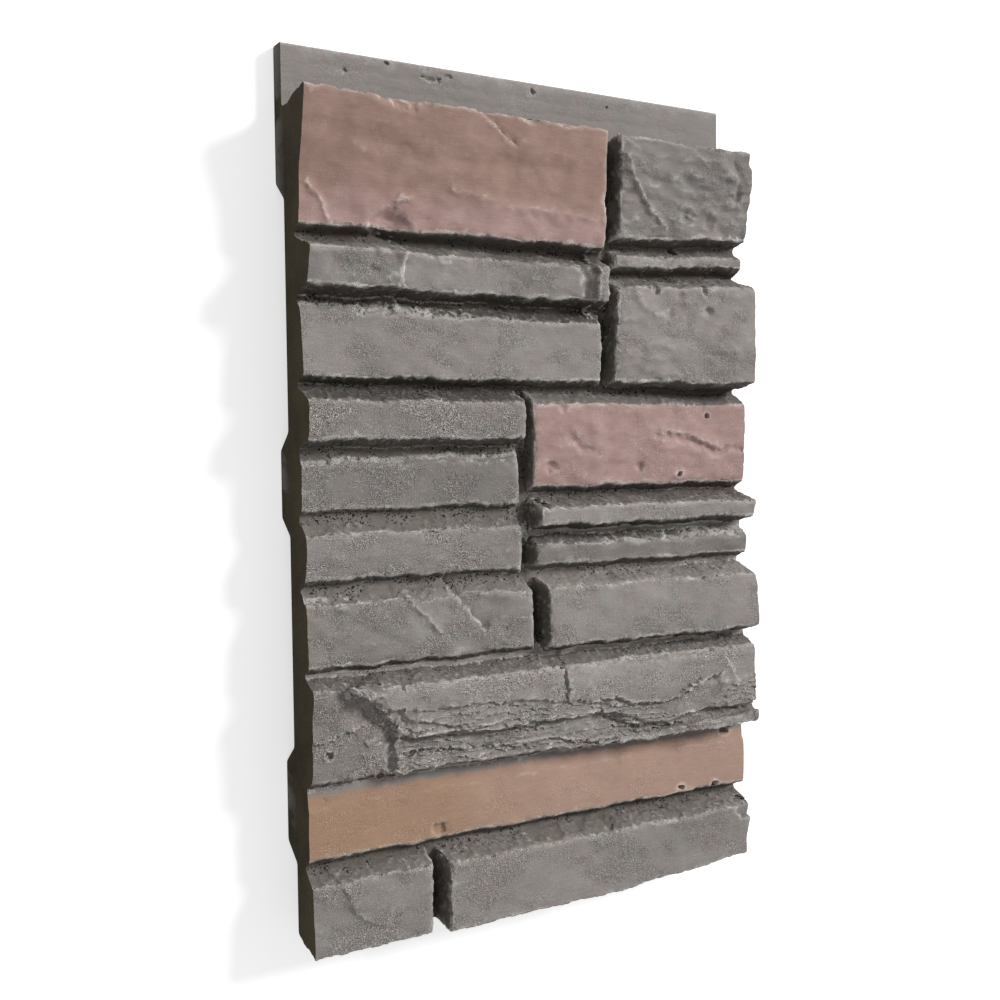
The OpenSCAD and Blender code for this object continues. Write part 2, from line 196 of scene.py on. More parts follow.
lamp_direction = Vector((0.74, 0.42, 0.62)).normalized()
bpy.ops.object.light_add(type="SUN", rotation=lamp_direction.to_track_quat("Z", "Y").to_euler())
lamp = bpy.context.object
lamp.name = "soft_window_light"
lamp.data.energy = LAMP_POWER
lamp.data.angle = math.radians(18)
scene.view_settings.view_transform = "Standard"
print("Light on a level surface, with 1 as full white:", round(SKY_POWER + LAMP_POWER / math.pi * lamp_direction.z, 2))

# %% [markdown]
# ## The panel's fine surface
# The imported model's stone faces are facets about a centimetre wide. The real
# foam copies split stone down to the millimetre. The dressed panel starts as a
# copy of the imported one. Its ends are first pulled out past the saw cuts, and at
# the very end it is sawn off again, as the real one was, so that the relief runs
# clean through the cut.

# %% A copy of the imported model, longer than the saw cuts
OVERLENGTH = 6 * MM
SAW_X = box_high.x
SAME_PLACE = 0.01 * MM

node_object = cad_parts["stone_panel"]
panel = node_object.copy()
panel.data = node_object.data.copy()
panel.name = "stone_panel_dressed"
panel.parent = None
panel.matrix_world = Matrix.Identity(4)
panel.data.materials.clear()
scene.collection.objects.link(panel)
only(panel)
bpy.ops.object.mode_set(mode="EDIT")
bpy.ops.mesh.select_all(action="SELECT")
bpy.ops.mesh.remove_doubles(threshold=SAME_PLACE)
bpy.ops.mesh.customdata_custom_splitnormals_clear()
bpy.ops.mesh.tris_convert_to_quads(face_threshold=math.radians(60), shape_threshold=math.radians(60))
bpy.ops.object.mode_set(mode="OBJECT")

places = points_of(panel)
at_cut = np.abs(places[:, 0]) > SAW_X - 0.1 * MM
places[at_cut, 0] += np.sign(places[at_cut, 0]) * OVERLENGTH
put_points(panel, places)
print("Faces of the copy:", len(panel.data.polygons), "- pulled out at the ends:", int(at_cut.sum()), "points")

# %% [markdown]
# A subdivision surface turns the facets into smooth swells. Edges that are
# creased stay sharp: those of the flange, the back and the ends, and those where
# a stone's face breaks off into a joint. Then a voxel remesh lays an even skin of
# small faces over all of it, to be sculpted.

# %% Smooth swells and an even skin
SEAT_LEVEL = 22 * MM
SKIN_GRAIN = 1.1 * MM
STONE_EDGE_ANGLE = math.radians(27)
STONE_EDGE_CREASE = 0.5

mesh_read = bmesh.new()
mesh_read.from_mesh(panel.data)
bends = np.array([line.calc_face_angle(0.0) for line in mesh_read.edges])
mesh_read.free()
ends = np.empty(2 * len(panel.data.edges), dtype=np.int32)
panel.data.edges.foreach_get("vertices", ends)
ends = ends.reshape(-1, 2)
on_slab = places[:, 2] < SEAT_LEVEL + 0.5 * MM
sharp = (on_slab[ends[:, 0]] & on_slab[ends[:, 1]]) | (at_cut[ends[:, 0]] & at_cut[ends[:, 1]])
crease = np.where(sharp, 1.0, np.where(bends > STONE_EDGE_ANGLE, STONE_EDGE_CREASE, 0.0))
creases = panel.data.attributes.new("crease_edge", "FLOAT", "EDGE")
creases.data.foreach_set("value", crease.astype(np.float32))
modified(panel, "SUBSURF", levels=2, render_levels=2, use_limit_surface=False)
modified(panel, "REMESH", mode="VOXEL", voxel_size=SKIN_GRAIN, use_smooth_shade=True)
print("Creased edges:", int((crease > 0).sum()), "- points of the even skin:", len(panel.data.vertices))

# %% [markdown]
# ## Where the stones are
# The stones that carry a colour or a mark of their own are listed by the edges of
# their faces, in millimetres from the panel's lower left corner: left, right,
# bottom and top. Their paint and their marks are placed by these.

# %% Stones by name
PANEL_W, PANEL_H = [(box_high[k] - box_low[k]) / MM for k in (0, 1)]
ROSE_TOP = (-10, 246, 474, 570)
ROSE_MIDDLE = (172, 380, 305, 369)
TAN = (-10, 380, 60, 106)
LAYERED = (-10, 380, 117, 176)
# For each of these stones: its face, how light its paint is, how lumpy it is and
# how sandy it is, all three with 1 as the common stone
CHARACTERS = [
    ((-10, 380, 565, 610), 1.08, 0.15, 0.3),
    ((-10, 244, 474, 565), 0.98, 0.85, 0.2),
    ((246, 380, 485, 565), 0.97, 2.3, 0.6),
    ((246, 380, 459, 485), 1.05, 1.5, 1.0),
    ((240, 380, 378, 458), 1.22, 1.7, 0.9),
    ((-10, 240, 434, 473), 1.03, 1.5, 0.9),
    ((-10, 240, 376, 434), 1.08, 0.8, 1.0),
    ((-10, 170, 335, 375), 1.02, 0.7, 2.2),
    ((-10, 170, 289, 335), 0.88, 0.7, 1.2),
    ((-10, 170, 243, 289), 1.04, 0.9, 1.8),
    ((-10, 174, 185, 243), 0.98, 1.5, 1.3),
    ((170, 380, 305, 369), 0.95, 1.2, 0.45),
    ((170, 380, 272, 300), 1.20, 1.0, 1.0),
    ((170, 380, 244, 272), 0.82, 1.2, 0.8),
    ((174, 380, 186, 244), 1.12, 0.8, 1.1),
    ((20, 380, 150, 184), 1.21, 0.8, 2.0),
    ((20, 380, 112, 150), 1.03, 1.0, 1.8),
    ((-10, 50, 112, 184), 0.89, 1.0, 1.8),
    ((-10, 380, 58, 110), 0.97, 0.5, 0.4),
    ((-10, 93, -5, 58), 0.97, 1.0, 1.3),
    ((93, 380, -5, 58), 1.04, 0.6, 1.0),
]
# Walls that are darker or lighter than the others: place and lightness. The darker ones are partly painted shadow cast
# by the stone above them.
WALL_SHADE_AND_TONES = [
    ((-10, 240, 416, 440), 0.68),
    ((-10, 170, 364, 380), 0.70),
    ((-10, 170, 280, 294), 1.15),
    ((-10, 170, 232, 248), 1.35),
    ((170, 380, 264, 277), 0.70),
    ((174, 380, 232, 248), 2.00),
    ((93, 380, 40, 62), 1.20),
]


def on_panel(points):
    """Places in metres as millimetres from the panel's lower left corner."""
    return points[:, 0] / MM + PANEL_W / 2, points[:, 1] / MM + PANEL_H / 2, points[:, 2] / MM


def smooth_step(low, high, value):
    """0 below low, 1 above high and a soft S between them."""
    t = np.clip((value - low) / (high - low), 0, 1)
    return t * t * (3 - 2 * t)


def inside(stone, x, y, soft=0.5):
    """1 over a stone and 0 beside it, with a soft border of the given width."""
    left, right, bottom, top = stone
    to_border = np.minimum(np.minimum(x - left, right - x), np.minimum(y - bottom, top - y))
    return smooth_step(-soft, soft, to_border)


def noise_at(points, lump_mm, seed, octaves=3):
    """Smooth noise of about -1 to 1 at each place, with lumps of the given size."""
    scale = 1 / (lump_mm * MM)
    shift = Vector((seed * 7.31, seed * 3.17, seed * 5.53))
    return np.array([noise.fractal(Vector(p) * scale + shift, 1.0, 2.0, octaves) for p in points])


# %% [markdown]
# ## Reading the surface
# A point that stands out from a smoothed copy of the panel is on an edge, and one
# that lies below it is in a joint. A copy smoothed over a short distance finds the
# edges, and one smoothed over a long distance finds the joints. The two measures
# say where edges wear and where dark paint gathers.

# %% Edges and hollows
GRAINS_SHORT = 16
GRAINS_LONG = 220
FULL_GRAIN = 1.25 * MM


def height_over(piece, passes):
    """How far each point stands out from the smoothed surface, in millimetres."""
    soft = piece.copy()
    soft.data = piece.data.copy()
    scene.collection.objects.link(soft)
    modified(soft, "SMOOTH", factor=0.5, iterations=int(passes * (FULL_GRAIN / SKIN_GRAIN) ** 2))
    out = np.einsum("ij,ij->i", points_of(piece) - points_of(soft), normals_of(piece)) / MM
    mesh = soft.data
    bpy.data.objects.remove(soft)
    bpy.data.meshes.remove(mesh)
    return out


edge = height_over(panel, GRAINS_SHORT)
hollow = height_over(panel, GRAINS_LONG)
print("Edges stand out up to", edge.max().round(2), "mm; joints lie up to", -hollow.min().round(1), "mm deep")

# %% [markdown]
# ## Faces and walls
# The stones' faces look up and their walls are steep, so the direction in which
# the surface looks, before any relief, tells them apart. The floors of the joints
# lie deepest and count as wall. The layers of the split stone have small walls of
# their own, and those count as face.

# %% Faces and walls
points, facing = points_of(panel), normals_of(panel)
x, y, z = on_panel(points)
front = np.flatnonzero((z > 11) & (facing[:, 2] > -0.3))
spread = np.zeros(len(points))
spread[front] = noise_at(points[front], 4, 31, 2)
inside_layers = smooth_step(LAYERED[2] - 2, LAYERED[2] + 1, y) * smooth_step(LAYERED[3] + 1, LAYERED[3] - 2, y)
steep = smooth_step(0.83, 0.72, facing[:, 2] + 0.08 * spread) * (1 - inside_layers)
wall = np.maximum(steep, smooth_step(36, 34, z)) * smooth_step(21, 23, z)
# Painted shade: walls that face down or to the left, away from the lamp, are darkened in the paint
shade_side = smooth_step(0.15, 0.6, np.maximum(-facing[:, 1], -facing[:, 0]))
rim = 4 * wall * (1 - wall)
rolling_off = smooth_step(0.25, 0.42, np.maximum(-facing[:, 1], -facing[:, 0])) * smooth_step(0.74, 0.82, facing[:, 2])
rim = np.maximum(rim, rolling_off * smooth_step(30, 36, z) * (1 - inside_layers))
print("Share of the front that is wall:", (wall[front] > 0.5).mean().round(2))

# %% [markdown]
# ## The split layers
# The big grey stone has lost part of its face, and what is left shows the layers
# of the rock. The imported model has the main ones. Between them lie thin shelves,
# each with a ragged lower edge. A saw-tooth over a wavy height gives shelves, and
# noise in that height makes their edges ragged. They end at the smooth upper face.

# %% Shelves in the layered stone
SHELF = 4.6
SHELF_DROP = 1.7
SMOOTH_FACE_X = (46, 92, 139, 185, 231, 277, 324, 370)
SMOOTH_FACE_Y = (162, 157, 156, 151, 149, 142, 151, 150)

in_layers = (inside_layers > 0) & (z > 49) & (x > 16)
k = np.flatnonzero(in_layers)
some = points[k]
split = smooth_step(1.5, -1.5, y[k] - np.interp(x[k], SMOOTH_FACE_X, SMOOTH_FACE_Y))
wavy = y[k] + 4.0 * noise_at(some * [0.4, 1, 1], 24, 1) + 1.5 * noise_at(some, 6, 2)
tooth = (wavy / SHELF + 0.5 * noise_at(some * [0.25, 1, 1], 14, 3)) % 1
patchy = smooth_step(-0.45, 0.1, noise_at(some * [0.3, 1, 1], 16, 32))
shelf = SHELF_DROP * (0.5 - tooth) * smooth_step(0, 0.1, tooth) * split * patchy
points[k, 2] += (shelf + 0.5 * split * noise_at(some * [0.5, 1, 1], 3, 33, 2)) * MM
print("Points in the shelves:", len(k))

# %% [markdown]
# ## Lumps, worn edges and rough joints
# Moulded foam repeats the stone's own skin: soft lumps and a stucco of grit on the
# faces, crumbled edges, and coarse, pitted mortar on the walls in the joints. Each
# is noise of its own size, and the measures above say where it goes.

# %% Relief by noise
LUMP_HEIGHT = 1.4
GRIT_HEIGHT = 0.25
CRUMB_DEPTH = 1.6
PIT_DEPTH = 0.4
OUTLINE_WANDER = 0.9
FINE_WANDER = 0.7
TEAR_WANDER = 3.2
TEAR = (14, 76, 114, 178)
# How far the upper right stones' outlines shift up the panel, by height and at their
# left and right ends
SHIFT_AT_Y = (405, 452, 490, 530, 568)
SHIFT_LEFT = (0, 1.5, 0.5, 0, -2.5)
SHIFT_RIGHT = (0, 6.5, 7, 0, -4.5)

some = points[front]
on_stones = smooth_step(21, 25, z[front])
on_wall = wall[front]
lumpy = np.ones(len(front))
sandy = np.ones(len(front))
for stone, _, lumpiness, sandiness in CHARACTERS:
    here = inside(stone, x[front], y[front], 3)
    lumpy += (lumpiness - 1) * here
    sandy += (sandiness - 1) * here
layered = some * [0.5, 1, 1]
facing_up = smooth_step(0, 0.4, facing[front, 1])
swells = 0.8 * noise_at(layered, 22, 4, 2) + 0.55 * noise_at(layered, 8, 5, 2)
rough_areas = smooth_step(-0.12, 0.38, noise_at(layered, 16, 44, 3))
grit = noise_at(some, 2.6, 34, 2) * sandy * (0.3 + 0.7 * rough_areas)
ragged = noise_at(some, 4, 7, 2)
crumbs = smooth_step(0.02, 0.35, noise_at(some, 9, 6, 2)) + 0.6 * smooth_step(0.1, 0.4, spread[front])
pits = smooth_step(0.1, 0.38, noise_at(some, 3.6, 8, 2))
on_edge = np.maximum(smooth_step(0.3, 1.0, edge[front]), rim[front])
out = (LUMP_HEIGHT * swells * lumpy * (1 - 0.6 * on_wall) + GRIT_HEIGHT * grit) * np.maximum(on_stones, 0.3)
out -= on_stones * on_edge * (CRUMB_DEPTH * crumbs + 0.3 * ragged) * (0.2 + 0.8 * facing_up)
out -= on_wall * (PIT_DEPTH * pits + 0.2 * ragged) * (0.15 + 0.85 * facing_up)
points[front] += facing[front] * (out * MM)[:, None]
at_tear = inside(TEAR, x[front], y[front], 6)
for axis, seed in ((0, 41), (1, 42)):
    wander = noise_at(some, 12, seed, 2) + FINE_WANDER * np.minimum(1, sandy) * noise_at(some, 3, seed + 20, 2)
    points[front, axis] += OUTLINE_WANDER * MM * on_stones * wander
    points[front, axis] += TEAR_WANDER * MM * at_tear * noise_at(some, 7, seed + 10)
along = smooth_step(246, 372, x[front])
shift = (1 - along) * np.interp(y[front], SHIFT_AT_Y, SHIFT_LEFT) + along * np.interp(y[front], SHIFT_AT_Y, SHIFT_RIGHT)
points[front, 1] += shift * MM * on_stones * smooth_step(238, 250, x[front])
rough_map = np.zeros(len(points))
rough_map[front] = sandy * (0.3 + 0.85 * rough_areas) * (1 - 0.7 * on_wall)
print("Relief from", out.min().round(1), "to", out.max().round(1), "mm")

# %% [markdown]
# ## Marks of single stones
# Some stones are known by one mark: a chip, a ridge, a small hole. Each mark is a
# short path or a spot on the panel, as a sculptor's stroke is, and it moves the
# points near it up or down. The nailing flange has a few dents of its own.

# %% Sculptor's strokes
def far_from(path):
    """Distance to a path, on which side (positive to its left), and how far past its ends."""
    best = np.full(len(wx), 1e9)
    side = np.ones(len(wx))
    past = np.zeros(len(wx))
    last = len(path) - 2
    for number, ((ax, ay), (bx, by)) in enumerate(zip(path, path[1:])):
        dx, dy = bx - ax, by - ay
        length = math.hypot(dx, dy)
        free = ((wx - ax) * dx + (wy - ay) * dy) / length ** 2
        t = np.clip(free, 0, 1)
        d = np.hypot(wx - ax - t * dx, wy - ay - t * dy)
        closer = d < best
        best[closer] = d[closer]
        side[closer] = np.sign(dx * (wy - ay) - dy * (wx - ax))[closer]
        before = np.maximum(-free, 0) * length if number == 0 else 0
        beyond = np.maximum(free - 1, 0) * length if number == last else 0
        past[closer] = np.broadcast_to(np.maximum(before, beyond), len(wx))[closer]
    return best, side, past


def stroke(path, width, height):
    """A ridge along a path, or a groove where the height is negative."""
    d, _, _ = far_from(path)
    return height * np.exp(-((d / width) ** 2) * 2)


def scarp(path, height, reach, lip=1.0):
    """A flake's edge: the ground to the left of the path is raised, less with the distance."""
    d, side, past = far_from(path)
    s = d * side
    out = height * smooth_step(-lip, lip, s) * np.exp(-np.clip(s, 0, None) / reach)
    return out * smooth_step(7, 0, past) * (d < 4 * reach)


def spot(centre, size, height, rim=0.35):
    """A hole or a lump: flat in the middle, with a rim that is a share of its size."""
    d = np.hypot((wx - centre[0]) / size[0], (wy - centre[1]) / size[1])
    return height * smooth_step(1, 1 - rim, d)


x, y, z = on_panel(points)
k = front
wander = points[k]
in_layers = inside(LAYERED, x[k], y[k], 3)
wx = x[k] + 2.2 * noise_at(wander, 6, 11) + 1.6 * in_layers * noise_at(wander, 2.8, 13, 2)
wy = y[k] + 2.2 * noise_at(wander, 6, 12) + 1.6 * in_layers * noise_at(wander, 2.8, 14, 2)
marks = sum((
    # The rose stone at the top: scoops out of its upper edge, a lump over a brown dent
    spot((72, 570), (30, 15), -6.0, 0.7),
    scarp([(128, 570), (137, 560), (156, 546)], -2.6, 14),
    spot((172, 568), (13, 8), -3.5, 0.7),
    spot((204, 566), (14, 6), -2.5, 0.7),
    spot((72, 499), (11, 5), 2.0, 0.9),
    spot((64, 482), (18, 12), -5.0, 0.8),
    stroke([(6, 505), (13, 496), (19, 484)], 3, 1.4),
    stroke([(110, 508), (170, 500), (236, 498)], 5, 1.2),
    stroke([(20, 540), (90, 528), (200, 532)], 9, -1.4),
    spot((239, 512), (4, 14), -2.0),
    # The ledge below it: a proud rough end on the left, a square nub on the right
    scarp([(70, 434), (67, 450), (72, 470)], 4.0, 30),
    stroke([(62, 440), (65, 452), (66, 464)], 5, 1.6),
    spot((52, 462), (8, 5), 1.6, 0.8),
    spot((58, 446), (6, 5), 1.4, 0.8),
    spot((46, 450), (5, 4), -1.4, 0.8),
    spot((20, 452), (12, 8), -2.2, 0.8),
    spot((100, 456), (9, 5), 1.4, 0.8),
    stroke([(216, 436), (218, 450), (216, 468)], 4.5, -2.5),
    scarp([(224, 472), (225, 452), (223, 432)], 4.0, 40, 0.7),
    # The upper right stones: a long ridge, hollows and a dark crescent
    stroke([(254, 545), (262, 528), (275, 510), (283, 503), (290, 498)], 4, 2.6),
    scarp([(290, 498), (275, 510), (254, 545)], 2.0, 14),
    stroke([(300, 515), (318, 511), (338, 517), (359, 519)], 5, 2.0),
    stroke([(357, 548), (360, 536), (357, 522)], 5, -2.2),
    spot((308, 482), (5, 3), -5.0, 0.6),
    spot((312, 505), (8, 5), -2.0, 0.8),
    spot((334, 503), (7, 6), -2.0, 0.8),
    spot((310, 534), (18, 9), -2.0, 0.9),
    spot((345, 540), (12, 9), 1.6, 0.9),
    spot((323, 451), (3.5, 4.5), -3.0, 0.6),
    spot((326, 435), (6, 5), -2.8, 0.8),
    spot((281, 451), (3.5, 5), -2.8, 0.6),
    spot((293, 431), (5, 6), -2.2, 0.8),
    spot((302, 446), (7, 5), -1.8, 0.9),
    stroke([(262, 448), (270, 436), (282, 432)], 4, 1.4),
    # The rose stone in the middle: ripples and small holes
    stroke([(283, 341), (300, 339), (315, 337), (331, 332), (346, 326), (353, 331), (368, 329)], 3.4, -1.7),
    stroke([(288, 345), (315, 342), (340, 334)], 5, 1.3),
    stroke([(206, 340), (216, 332), (230, 329)], 4, -1.4),
    spot((333.5, 356), (2, 2), -3.6),
    spot((304.5, 311.5), (2.8, 2.2), -4.0),
    spot((304.5, 311.5), (8, 5), 1.4, 0.6),
    spot((190, 319), (7, 5), -2.4, 0.8),
    spot((268, 317), (5, 5), -2.2, 0.8),
    spot((200, 362), (5, 4), -1.6, 0.8),
    spot((228, 347), (9, 7), 1.4, 0.9),
    # The lower left stones: split facets
    scarp([(104, 244), (108, 236), (116, 224), (123, 215), (129, 209)], -3.4, 12),
    stroke([(72, 234), (84, 220), (96, 208)], 3.6, 1.8),
    scarp([(14, 54), (20, 45), (29, 26), (38, 18), (48, 13)], 1.8, 26, 2.0),
    stroke([(19, 176), (30, 173), (44, 171)], 3.5, 2.5),
    # The layered stone: its torn edge, the plates of its layers, a crack and a broken corner
    scarp([(60, 114), (54, 125), (57, 128), (58, 141), (50, 149), (40, 156), (34, 166), (20, 176)], -2.0, 16, 1.2),
    stroke([(24, 178), (36, 169), (44, 159), (54, 151), (61, 142)], 3, 1.3),
    scarp([(240, 141), (206, 149), (192, 150), (175, 153), (148, 156), (111, 158), (87, 157), (57, 160), (41, 167)],
          -1.8, 22, 0.5),
    scarp([(327, 155), (303, 146), (282, 140), (248, 141), (240, 147), (225, 149)], -3.2, 12, 0.5),
    scarp([(150, 137), (135, 140), (99, 145), (71, 151), (58, 154)], -1.6, 12, 0.5),
    scarp([(257, 125), (239, 132), (222, 139), (206, 137), (177, 138), (168, 135), (130, 136), (120, 139), (108, 140),
           (87, 138), (60, 141)], -3.4, 18, 0.5),
    scarp([(362, 127), (315, 130), (297, 128), (291, 122), (257, 125)], -3.4, 7, 0.5),
    scarp([(300, 121), (270, 119), (244, 121), (224, 117), (201, 119), (182, 126), (161, 123), (128, 126), (117, 128),
           (84, 128), (70, 129), (58, 127)], -2.6, 14, 0.5),
    scarp([(194, 186), (191, 172), (190, 156)], 2.0, 12, 0.6),
    stroke([(194, 186), (191, 172), (190, 156)], 1.4, -1.6),
    scarp([(0, 143), (14, 144), (22, 147), (36, 150)], 2.2, 14, 0.6),
    spot((11, 133), (3, 2.4), -3.2),
    spot((11, 133), (6, 5), 0.8, 0.6),
    spot((41, 140), (7, 3.5), 1.6, 0.8),
    scarp([(333, 158), (318, 154), (305, 150), (298, 146)], 2.4, 8, 0.6),
    scarp([(352, 150), (348, 160), (340, 170), (343, 178)], 3.0, 14, 0.8),
    # The tan stone: holes and a notch in its ragged edges
    spot((307, 69), (3, 2.6), -3.6),
    spot((341, 65), (4, 3), -4.4),
    spot((351, 106), (5, 4), -5.0),
    spot((96, 70), (6, 5), -2.0),
    # A deep hole beside the thin stone, and the chipped corner of the lowest one
    spot((179, 292), (7, 3.5), -6.0),
    spot((366, 44), (12, 8), -5.0, 0.25),
))
dents = sum((
    spot((76, 597), (2.6, 1.6), -2.2),
    stroke([(104, 593), (112, 591), (118, 592)], 1.3, -2.0),
    stroke([(122, 595), (127, 594)], 1.2, -1.8),
    spot((195, 594), (1.6, 2.8), -2.2),
    spot((45, 588), (2, 1.3), -1.4),
    spot((262, 590), (2.4, 1.3), -1.4),
    stroke([(20, 590), (150, 587), (300, 589)], 1.2, -0.4),
    stroke([(60, 580), (190, 578), (340, 581)], 1.4, -0.35),
))
stone_share = smooth_step(22, 26, z[k])
marks = marks * stone_share + dents * (1 - stone_share)
points[k, 2] += marks * MM
points = np.clip(points, [box_low.x - OVERLENGTH, box_low.y, box_low.z], [box_high.x + OVERLENGTH, box_high.y, box_high.z])
put_points(panel, points)
print("Points moved by strokes:", int((np.abs(marks) > 0.05).sum()))

# %% [markdown]
# ## Fewer faces, and the saw cuts
# Even faces are handy for sculpting and wasteful afterwards. The Decimate modifier
# keeps small faces where the surface bends and joins them where it is flat. The
# measures of the surface are taken once more first, because the paint needs them.
# Then both ends are sawn off at the panel's true width.

# %% Fewer faces
MOST_TRIANGLES = 192000

edge = height_over(panel, GRAINS_SHORT)
hollow = height_over(panel, GRAINS_LONG)
tree_of_points = kdtree.KDTree(len(points))
for index, place in enumerate(points):
    tree_of_points.insert(place, index)
tree_of_points.balance()
share = MOST_TRIANGLES / (2 * len(panel.data.polygons))
modified(panel, "DECIMATE", ratio=min(1.0, share), use_collapse_triangulate=True)
print("Triangles after Decimate:", len(panel.data.polygons))

# %% Sawn off at both ends
only(panel)
for cut_x, outwards in ((box_low.x, -1), (box_high.x, 1)):
    bpy.ops.object.mode_set(mode="EDIT")
    bpy.ops.mesh.select_all(action="SELECT")
    bpy.ops.mesh.bisect(
        plane_co=(cut_x, 0, 0), plane_no=(outwards, 0, 0), use_fill=True, clear_outer=True, clear_inner=False
    )
    bpy.ops.object.mode_set(mode="OBJECT")
put_points(panel, np.clip(points_of(panel), cad_box[0], cad_box[1]))
only(panel)
bpy.ops.object.shade_smooth_by_angle(angle=math.radians(50))
print("Faces after the saw cuts:", len(panel.data.polygons))

# %% [markdown]
# ## Paint maps
# The paint follows the stones, so each point of the panel carries a few numbers
# that the materials read: how far it stands out, how deep it lies, whether it is
# on a joint's wall and on that wall's shaded side, where shade is painted, how much
# rose or tan paint it has, and how light the paint of its stone is. The colours stop
# where a stone's face drops into the joint, a little unevenly, as a brush leaves them.

# %% Numbers for the paint
final = points_of(panel)
nearest = np.array([tree_of_points.find(place)[1] for place in final])
x, y, z = on_panel(final)
depth = hollow[nearest]
at_wall = wall[nearest]
tone = np.ones(len(final))
for stone, lightness, _, _ in CHARACTERS:
    tone += (lightness - 1) * inside(stone, x, y, 2)
# Each wall's lightness: the darker walls are partly painted shadow of the stone above
wall_shade_and_tone = np.ones(len(final))
for place, lightness in WALL_SHADE_AND_TONES:
    wall_shade_and_tone += (lightness - 1) * inside(place, x, y, 3)
painted_face = smooth_step(24, 30, z) * (1 - at_wall)
cloudy = noise_at(final, 30, 43, 2)
pink = np.where(y > 400, smooth_step(512, 488, y + 6 * cloudy), 1)
pink = np.where(y < 200, smooth_step(60, 200, x + 30 * cloudy), pink)
maps = {
    "edge": edge[nearest],
    "hollow": depth,
    "wall": at_wall,
    "shade_side": at_wall * shade_side[nearest],
    "rim": rim[nearest],
    "pink": pink,
    "rose": np.maximum(inside(ROSE_TOP, x, y), inside(ROSE_MIDDLE, x, y)) * painted_face,
    "tan": inside(TAN, x, y) * painted_face,
    "tone": tone,
    "wall_shade_and_tone": wall_shade_and_tone,
    "rough": rough_map[nearest],
}
for name, values in maps.items():
    layer = panel.data.attributes.new(name, "FLOAT", "POINT")
    layer.data.foreach_set("value", values.astype(np.float32))
    print(name, "from", values.min().round(2), "to", values.max().round(2))

# %% [markdown]
# ## The painted face
# Polyurethane foam comes grey from the mould and is sprayed with a matt acrylic
# paint. The stones then get a light coat with a nearly dry brush, which catches
# only on edges and grit, and the joints stay dark and full of small open pores.
# Matt paint has a high roughness and no metal, and its grit is a bump of lumps
# about 1.3 mm wide.

# %% Painted foam
def material(name):
    made = bpy.data.materials.new(name)
    made.use_nodes = True
    made.node_tree.nodes.clear()
    return made


def pattern(lump_mm, detail=2.0):
    """The settings of a noise whose lumps have the given real size."""
    return {"Scale": 1 / (lump_mm * MM), "Detail": detail, "Roughness": 0.55}


painted_foam = material("matt_painted_polyurethane_foam")
tree = painted_foam.node_tree
place = add_node(tree, "ShaderNodeTexCoord").outputs["Object"]
number = {
    name: add_node(tree, "ShaderNodeAttribute", attribute_name=name).outputs["Fac"] for name in maps
}
brushwise = add_node(tree, "ShaderNodeMapping", {"Vector": place, "Scale": (0.12, 1, 1)}).outputs[0]
patches = add_node(tree, "ShaderNodeTexNoise", {"Vector": place, **pattern(60, 3)}).outputs["Fac"]
blotches = add_node(tree, "ShaderNodeTexNoise", {"Vector": place, **pattern(14, 3)}).outputs["Fac"]
grit = add_node(tree, "ShaderNodeTexNoise", {"Vector": place, **pattern(2.6, 3)}).outputs["Fac"]
sand = add_node(tree, "ShaderNodeTexNoise", {"Vector": place, **pattern(0.65, 1)}).outputs["Fac"]
streaks = add_node(tree, "ShaderNodeTexNoise", {"Vector": brushwise, **pattern(1.2, 3)}).outputs["Fac"]

patch = add_node(tree, "ShaderNodeMapRange", {"Value": patches, "From Min": 0.38, "From Max": 0.62}).outputs[0]
blotch = add_node(tree, "ShaderNodeMapRange", {"Value": blotches, "From Min": 0.36, "From Max": 0.64}).outputs[0]
grey = add_node(
    tree, "ShaderNodeMix", {0: patch, 6: linear("#7f7b77"), 7: linear("#8a8682")}, data_type="RGBA"
).outputs[2]
warm_grey = add_node(
    tree, "ShaderNodeMix", {0: blotch, 6: linear("#877f7b"), 7: grey}, data_type="RGBA"
).outputs[2]
brown_rose = add_node(
    tree, "ShaderNodeMix", {0: blotch, 6: linear("#8f7469"), 7: linear("#9a7f74")}, data_type="RGBA"
).outputs[2]
pink_rose = add_node(
    tree, "ShaderNodeMix", {0: blotch, 6: linear("#a1847e"), 7: linear("#ad918c")}, data_type="RGBA"
).outputs[2]
rose = add_node(
    tree, "ShaderNodeMix", {0: number["pink"], 6: brown_rose, 7: pink_rose}, data_type="RGBA"
).outputs[2]
tan = add_node(
    tree, "ShaderNodeMix", {0: number["pink"], 6: linear("#9d7f69"), 7: linear("#a78b7c")}, data_type="RGBA"
).outputs[2]
with_rose = add_node(
    tree, "ShaderNodeMix", {0: number["rose"], 6: warm_grey, 7: rose}, data_type="RGBA"
).outputs[2]
coat = add_node(
    tree, "ShaderNodeMix", {0: number["tan"], 6: with_rose, 7: tan}, data_type="RGBA"
).outputs[2]

# Each stone's own lightness, with the streaks of the brush and the sand in the paint
streak = add_node(
    tree, "ShaderNodeMapRange", {"Value": streaks, "From Min": 0.3, "From Max": 0.7, "To Min": 0.94, "To Max": 1.06}
).outputs[0]
sanding = add_node(
    tree, "ShaderNodeMapRange", {"Value": sand, "From Min": 0.3, "From Max": 0.7, "To Min": -0.36, "To Max": 0.36}
).outputs[0]
sanded = add_node(
    tree, "ShaderNodeMath", {0: sanding, 1: number["rough"], 2: 1.0}, operation="MULTIPLY_ADD"
).outputs[0]
lightness = add_node(tree, "ShaderNodeMath", {0: number["tone"], 1: streak}, operation="MULTIPLY").outputs[0]
lightness = add_node(tree, "ShaderNodeMath", {0: lightness, 1: sanded}, operation="MULTIPLY").outputs[0]
toned = add_node(tree, "ShaderNodeHueSaturation", {"Color": coat, "Value": lightness}).outputs[0]

